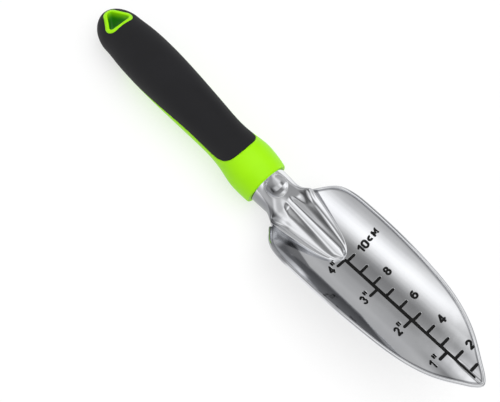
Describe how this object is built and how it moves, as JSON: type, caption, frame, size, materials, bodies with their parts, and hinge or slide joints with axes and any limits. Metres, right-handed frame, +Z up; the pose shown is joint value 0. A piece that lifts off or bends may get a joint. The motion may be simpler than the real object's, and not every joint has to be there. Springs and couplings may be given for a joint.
{
  "type": "hand trowel",
  "caption": "Garden hand trowel: cast aluminium scoop with a ribbed neck and an engraved depth scale, on a moulded plastic handle with a soft grip and a hang hole.",
  "frame": {"origin": "bottom centre of the whole trowel, lying at rest on a level surface: its lowest points are the underside of the handle's collar and the underside of the butt", "axes": "+X from the handle's butt to the blade's tip, +Y to the side of the blade with the centimetre scale, +Z up, out of the scoop. The handle and blade lie pitched 12.9 degrees about Y"},
  "size_m": [0.3158, 0.0612, 0.0434],
  "materials": {
    "cast_aluminium": "polished",
    "core_plastic": "satin",
    "grip_rubber": "matte",
    "scale_paint": "satin"
  },
  "bodies": {
    "root": {"trowel_head": "cast_aluminium", "handle_core": "core_plastic", "soft_grip": "grip_rubber", "scale_centre_line": "scale_paint", "scale_cm_ticks": "scale_paint", "scale_inch_ticks": "scale_paint", "scale_cm_numerals": "scale_paint", "scale_inch_numerals": "scale_paint"}
  },
  "joints": []
}
